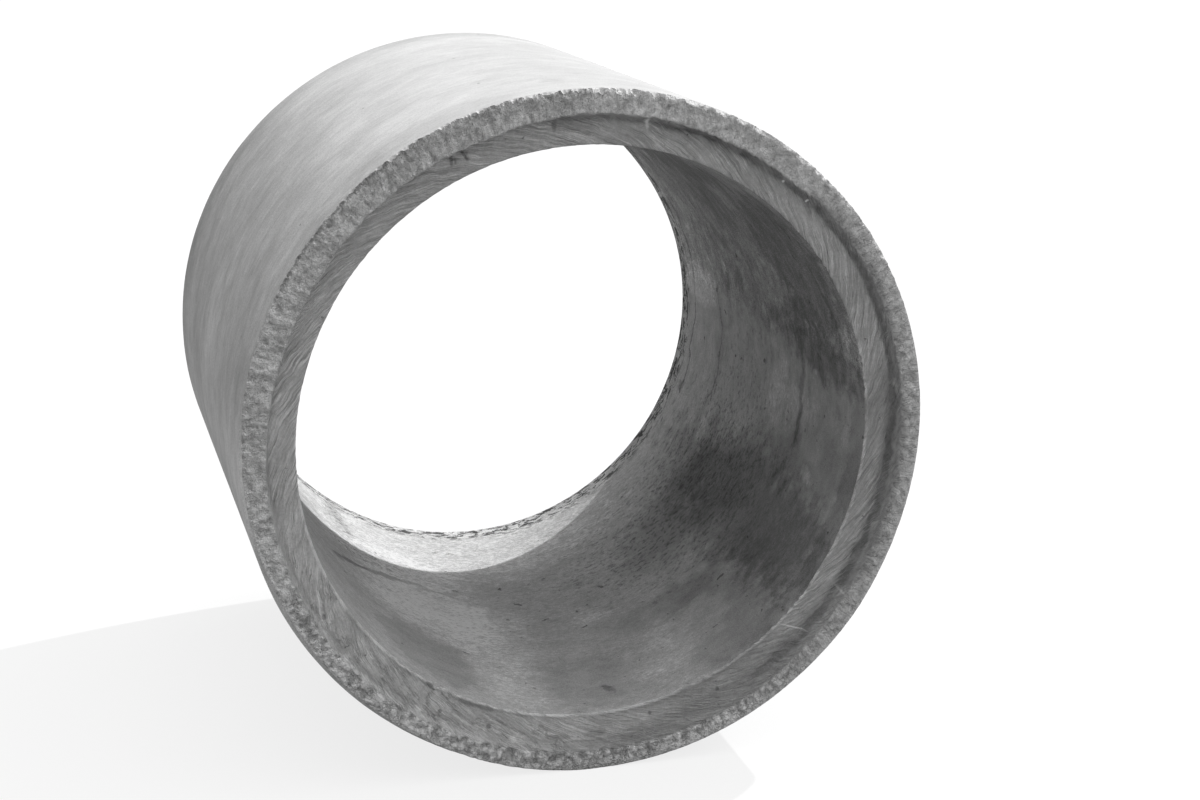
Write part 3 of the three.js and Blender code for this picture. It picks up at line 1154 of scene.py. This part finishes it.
bore = {
    "albedo": 0.47,
    "roughness": 0.82,
    "stainsAndPaintedLight": [  # columns as on the outside; the broad dark patches on the right side are painted shade and the broad pale ones low on the left painted light, the rest darker and paler stains
        # painted shade: broad dark bands on the bore's right side
        (42, 0.40, 0.50, 1.15, -0.62),
        (43, 0.45, 0.16, 1.20, -0.25, {"edge": 0.6}),
        (6, 0.66, 0.30, 0.70, -0.17, {"edge": 0.6}),
        (-15, 0.20, 0.13, 0.40, -0.34, {"edge": 0.5}),
        (-53, 0.17, 0.17, 0.40, -0.30, {"edge": 0.5}),
        (-112, 0.54, 0.20, 0.24, 0.20, {"edge": 0.5}),
        (-127, 0.90, 0.030, 0.24, -0.30, {"ragged": 2.5}),
        (29, 0.22, 0.27, 0.33, -0.34, {"edge": 0.25}),
        (50.5, 0.58, 0.09, 0.56, -0.45),
        (46, 0.13, 0.08, 0.13, -0.30),
        (35, 0.56, 0.15, 0.16, -0.20),
        (14, 0.61, 0.08, 0.05, -0.32),
        (12.5, 0.71, 0.03, 0.05, -0.40),
        (21, 0.42, 0.11, 0.13, 0.24),
        (42, 0.41, 0.07, 0.10, 0.35, {"edge": 0.6}),
        (8, 0.20, 0.080, 0.30, -0.55, {"edge": 0.4, "ragged": 0.7}),
        (11, 0.38, 0.050, 0.24, -0.38, {"lean": -10}),
        (23, 0.118, 0.12, 0.014, -0.50, {"lean": -14}),
        (7, 0.87, 0.075, 0.25, 0.34, {"edge": 0.25}),
        (1, 0.50, 0.065, 0.34, 0.06, {"edge": 0.3}),
        (0, 0.16, 0.20, 0.20, -0.16, {"edge": 0.5}),
        (-7, 0.40, 0.13, 0.16, 0.20, {"edge": 0.15}),
        (-10, 0.24, 0.10, 0.12, 0.16, {"edge": 0.2}),
        (-19.5, 0.22, 0.020, 0.06, 0.45),
        (3, 0.245, 0.016, 0.03, 0.40),
        (-26, 0.74, 0.045, 0.045, 0.32, {"edge": 0.3}),
        (-6, 0.310, 0.17, 0.020, -0.42),
        (-12, 0.303, 0.06, 0.040, -0.40),
        (-7, 0.765, 0.28, 0.045, -0.22, {"edge": 0.6}),
        (-8, 0.766, 0.24, 0.007, -0.45),
        (-10, 0.930, 0.21, 0.007, -0.80),
        (18, 0.926, 0.18, 0.009, -0.60),
        (-20, 0.930, 0.035, 0.022, -0.60),
        # painted shade: a broad dark band low on the right
        (-33, 0.42, 0.19, 0.86, -0.55, {"edge": 0.35}),
        (-32, 0.56, 0.12, 0.26, -0.42),
        (-43, 0.67, 0.22, 0.13, -0.36),
        (-50, 0.57, 0.18, 0.17, -0.36, {"edge": 0.6}),
        (-34, 0.23, 0.16, 0.34, -0.26, {"ragged": 0.6}),
        (-40, 0.27, 0.06, 0.30, -0.14, {"ragged": 0.6}),
        (-20, 0.40, 0.10, 0.26, -0.24, {"ragged": 0.6}),
        (-60, 0.335, 0.28, 0.09, -0.18, {"edge": 0.5}),
        (-60, 0.21, 0.15, 0.16, 0.18, {"edge": 0.15}),
        (-77, 0.43, 0.07, 0.06, 0.16, {"edge": 0.2}),
        (-87, 0.15, 0.17, 0.22, -0.24, {"edge": 0.35}),
        (-72, 0.125, 0.12, 0.05, 0.16, {"edge": 0.6}),
        (-84, 0.105, 0.016, 0.03, -0.60),
        # painted light: broad pale patches low on the left
        (-114, 0.46, 0.31, 0.28, 0.30, {"ragged": 0.5}),
        (-120, 0.44, 0.13, 0.12, 0.18, {"ragged": 0.5}),
        (-103, 0.28, 0.13, 0.46, 0.24, {"ragged": 0.5}),
        (-118, 0.70, 0.32, 0.20, 0.28, {"edge": 0.4}),
        (-121, 0.19, 0.18, 0.25, -0.18, {"edge": 0.12}),
        (-107, 0.598, 0.10, 0.012, -0.30, {"lean": 28}),
        (-121, 0.590, 0.16, 0.018, -0.60, {"lean": -27}),
        (-132, 0.530, 0.11, 0.020, -0.70, {"lean": -40}),
        # painted light: where the sunlit crescent lies, near the far end
        (-100, 0.90, 0.62, 0.36, 0.30, {"edge": 0.3}),
        (-21, 0.042, 0.54, 0.078, -0.32, {"edge": 0.25, "ragged": 0.5}),
    ],
    "speckled": [  # and these are made of fine specks
        (-40, 0.62, 0.48, 0.50, -0.75, {"edge": 0.6, "ragged": 1.2}),
        (-128, 0.90, 0.045, 0.30, -1.10, {"edge": 0.6, "ragged": 2.0}),
        (-124, 0.66, 0.16, 0.08, -0.80, {"edge": 0.6, "ragged": 1.5}),
    ],
    "rimSpecksSpan": (-175, 50),  # dark pits and dirt along the far rim
    "livelySpan": (14, 82),  # the skin is more speckled here
    "lively": 2.6,
}


def paintBore():
    material, tree = newMaterial("boreSkin")
    place = placeOn(tree, boreRadius)
    point, loose = place["point"], place["loose"]
    holes = pits(loose, 0.030, 0.0050, share=0.20)
    pinholes = pits(loose, 0.012, 0.0022, share=0.30)
    fine = mottle(point, 0.0055, 1.7, 4, 0.66)
    sand = mottle(point, 0.0019, detail=2)
    stainsAndPaintedLight = addUp([ovalPatch(place, *spot) for spot in bore["stainsAndPaintedLight"]])
    speckled = addUp([ovalPatch(place, *spot) for spot in bore["speckled"]])
    uneven = calc("ADD", swing(fine, 1.3), 1.0)
    lively = fade(sector(place, bore["livelySpan"], 12), 0.0, 1.0, 1.0, bore["lively"])
    specks = fade(mottle(point, 0.0085, 1.3, 5, 0.68), 0.51, 0.62)
    farBand = times(fade(place["depth"], 0.950, 0.990), sector(place, bore["rimSpecksSpan"], 15))
    dirt = fade(mottle(loose, 0.0085, 2.6, 4, 0.62), 0.50, 0.56)
    tone = addUp([
        swing(mottle(loose, 0.13, detail=5, rough=0.6), 0.20),
        times(swing(mottle(loose, 0.032, 1.5, 6, 0.66), 0.36), lively),
        times(swing(fine, 0.50), lively),
        times(swing(sand, 0.58), lively),
        # the pits are darker: painted shade in the holes
        times(holes, -0.8),
        times(pinholes, -0.7),
        times(stainsAndPaintedLight, uneven),
        times(specks, speckled),
        times(dirt, farBand, -2.2),
    ])
    height = addUp([
        swing(mottle(point, 0.012, 2, 4, 0.6), 0.0006),
        swing(mottle(point, 0.003, rough=0.6), 0.0003),
        times(holes, -0.0022),
        times(pinholes, -0.0010),
    ])
    rough = calc("ADD", swing(mottle(point, 0.05), 0.12), bore["roughness"])
    finish(tone, bore["albedo"], height, rough)
    return material


tongueEnd = {
    "albedo": 0.58,
    "roughness": 0.9,
}


def paintTongueEnd():
    material, tree = newMaterial("tongueEnd")
    point = placeOn(tree, boreRadius)["point"]
    holes = pits(point, 0.014, 0.0032, share=0.4)
    grit = mottle(point, 0.004, detail=4, rough=0.65)
    tone = addUp([
        swing(mottle(point, 0.05, detail=4), 0.2),
        swing(grit, 0.18),
        # the pits are darker: painted shade in the holes
        times(holes, -0.6),
    ])
    height = addUp([swing(grit, 0.0006), times(holes, -0.0015)])
    finish(tone, tongueEnd["albedo"], height, tongueEnd["roughness"])
    return material


def assignMaterials():
    paints = {
        "outside": paintOutside,
        "grooveEnd": paintGrooveEnd,
        "bore": paintBore,
        "tongueEnd": paintTongueEnd,
    }
    for paint in paints.values():
        wall.data.materials.append(paint())
    slots = {name: slot for slot, name in enumerate(paints)}
    for face, name in zip(wall.data.polygons, finishes):
        face.material_index = slots[name]


assignMaterials()
print("materials painted")
